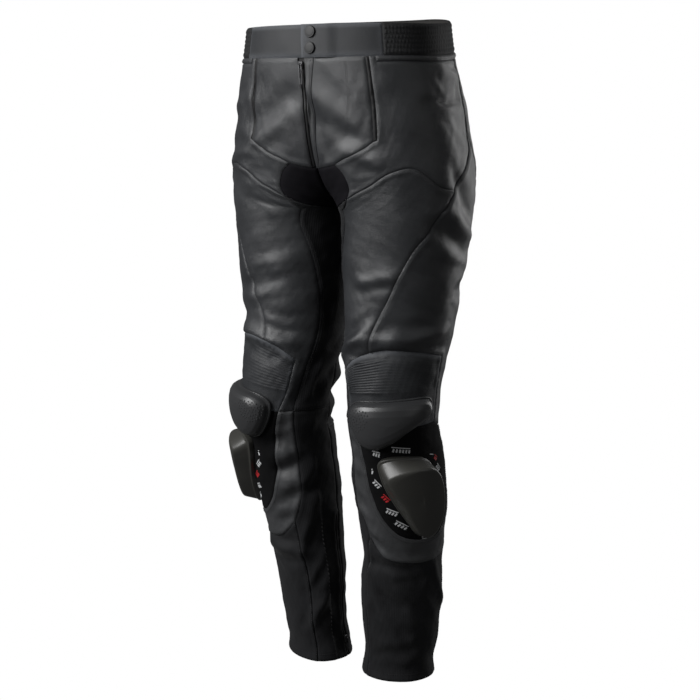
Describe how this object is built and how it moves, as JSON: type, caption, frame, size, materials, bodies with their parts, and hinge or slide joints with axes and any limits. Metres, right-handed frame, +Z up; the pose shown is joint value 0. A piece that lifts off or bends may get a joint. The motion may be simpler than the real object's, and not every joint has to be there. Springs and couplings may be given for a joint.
{
  "type": "leather motorcycle pants",
  "caption": "Hollow black leather riding pants as worn, with stretch gusset and calves, knee accordions, knee cups and knee sliders.",
  "frame": {"origin": "middle of the waist opening, half way up the waistband", "axes": "+Z up along the wearer, -Y to the wearer's front, +X to the wearer's left"},
  "size_m": [0.4025, 0.2476, 1.0417],
  "materials": {
    "leather": "smooth cowhide with a soft sheen",
    "trim": "woven zip tape and piping",
    "stretch": "matte ribbed stretch fabric",
    "hook_and_loop": "hook-and-loop pile with short light dashes",
    "elastic": "ribbed elastic",
    "moulded_rubber": "semi-gloss moulded",
    "hard_plastic": "satin moulded plastic",
    "zip_metal": "black nickel"
  },
  "bodies": {
    "root": {"front_yoke_left": "leather", "front_yoke_right": "leather", "pocket_welt_left": "trim", "pocket_welt_right": "trim", "hip_left": "leather", "hip_right": "leather", "seat_left": "leather", "seat_right": "leather", "gusset_left": "stretch", "gusset_right": "stretch", "thigh_front_left": "leather", "thigh_front_right": "leather", "thigh_outer_left": "leather", "thigh_outer_right": "leather", "thigh_back_left": "leather", "thigh_back_right": "leather", "thigh_inner_left": "stretch", "thigh_inner_right": "stretch", "knee_back_left": "stretch", "knee_back_right": "stretch", "slider_panel_left": "hook_and_loop", "slider_panel_right": "hook_and_loop", "shin_surround_left": "leather", "shin_surround_right": "leather", "calf_front_left": "stretch", "calf_front_right": "stretch", "calf_back_left": "stretch", "calf_back_right": "stretch", "calf_inner_left": "stretch", "calf_inner_right": "stretch", "calf_zip_left": "trim", "calf_zip_right": "trim", "knee_accordion_left": "leather", "knee_accordion_right": "leather", "knee_cup_left": "moulded_rubber", "knee_cup_right": "moulded_rubber", "knee_slider_left": "hard_plastic", "knee_slider_right": "hard_plastic", "waist_elastic_left": "elastic", "waist_elastic_right": "elastic", "calf_zip_slider_left": "zip_metal", "calf_zip_slider_right": "zip_metal", "waistband_front_left": "leather", "waistband_front_right": "leather", "waistband_back": "leather", "connection_zip_guard": "trim", "fly_zip": "trim", "fly_guard": "leather", "press_stud_upper": "leather", "press_stud_lower": "leather", "fly_zip_slider": "zip_metal"},
    "fly_pull": {"fly_zip_pull": "zip_metal"},
    "calf_pull_left": {"calf_zip_pull_left": "zip_metal"},
    "calf_pull_right": {"calf_zip_pull_right": "zip_metal"}
  },
  "joints": [
    {"name": "fly_pull_swing", "type": "hinge", "parent": "root", "child": "fly_pull", "pos_m": [-0.00603, -0.11791, -0.03409], "axis": [-1, -0.0063, 0.0021], "range_deg": [0, 150]},
    {"name": "calf_pull_left_swing", "type": "hinge", "parent": "root", "child": "calf_pull_left", "pos_m": [0.01917, 0.03128, -0.97333], "axis": [0.0698, 0.9976, 0], "range_deg": [0, 150]},
    {"name": "calf_pull_right_swing", "type": "hinge", "parent": "root", "child": "calf_pull_right", "pos_m": [-0.02164, 0.03009, -0.97368], "axis": [-0.159, -0.9868, -0.0295], "range_deg": [0, 150]}
  ]
}
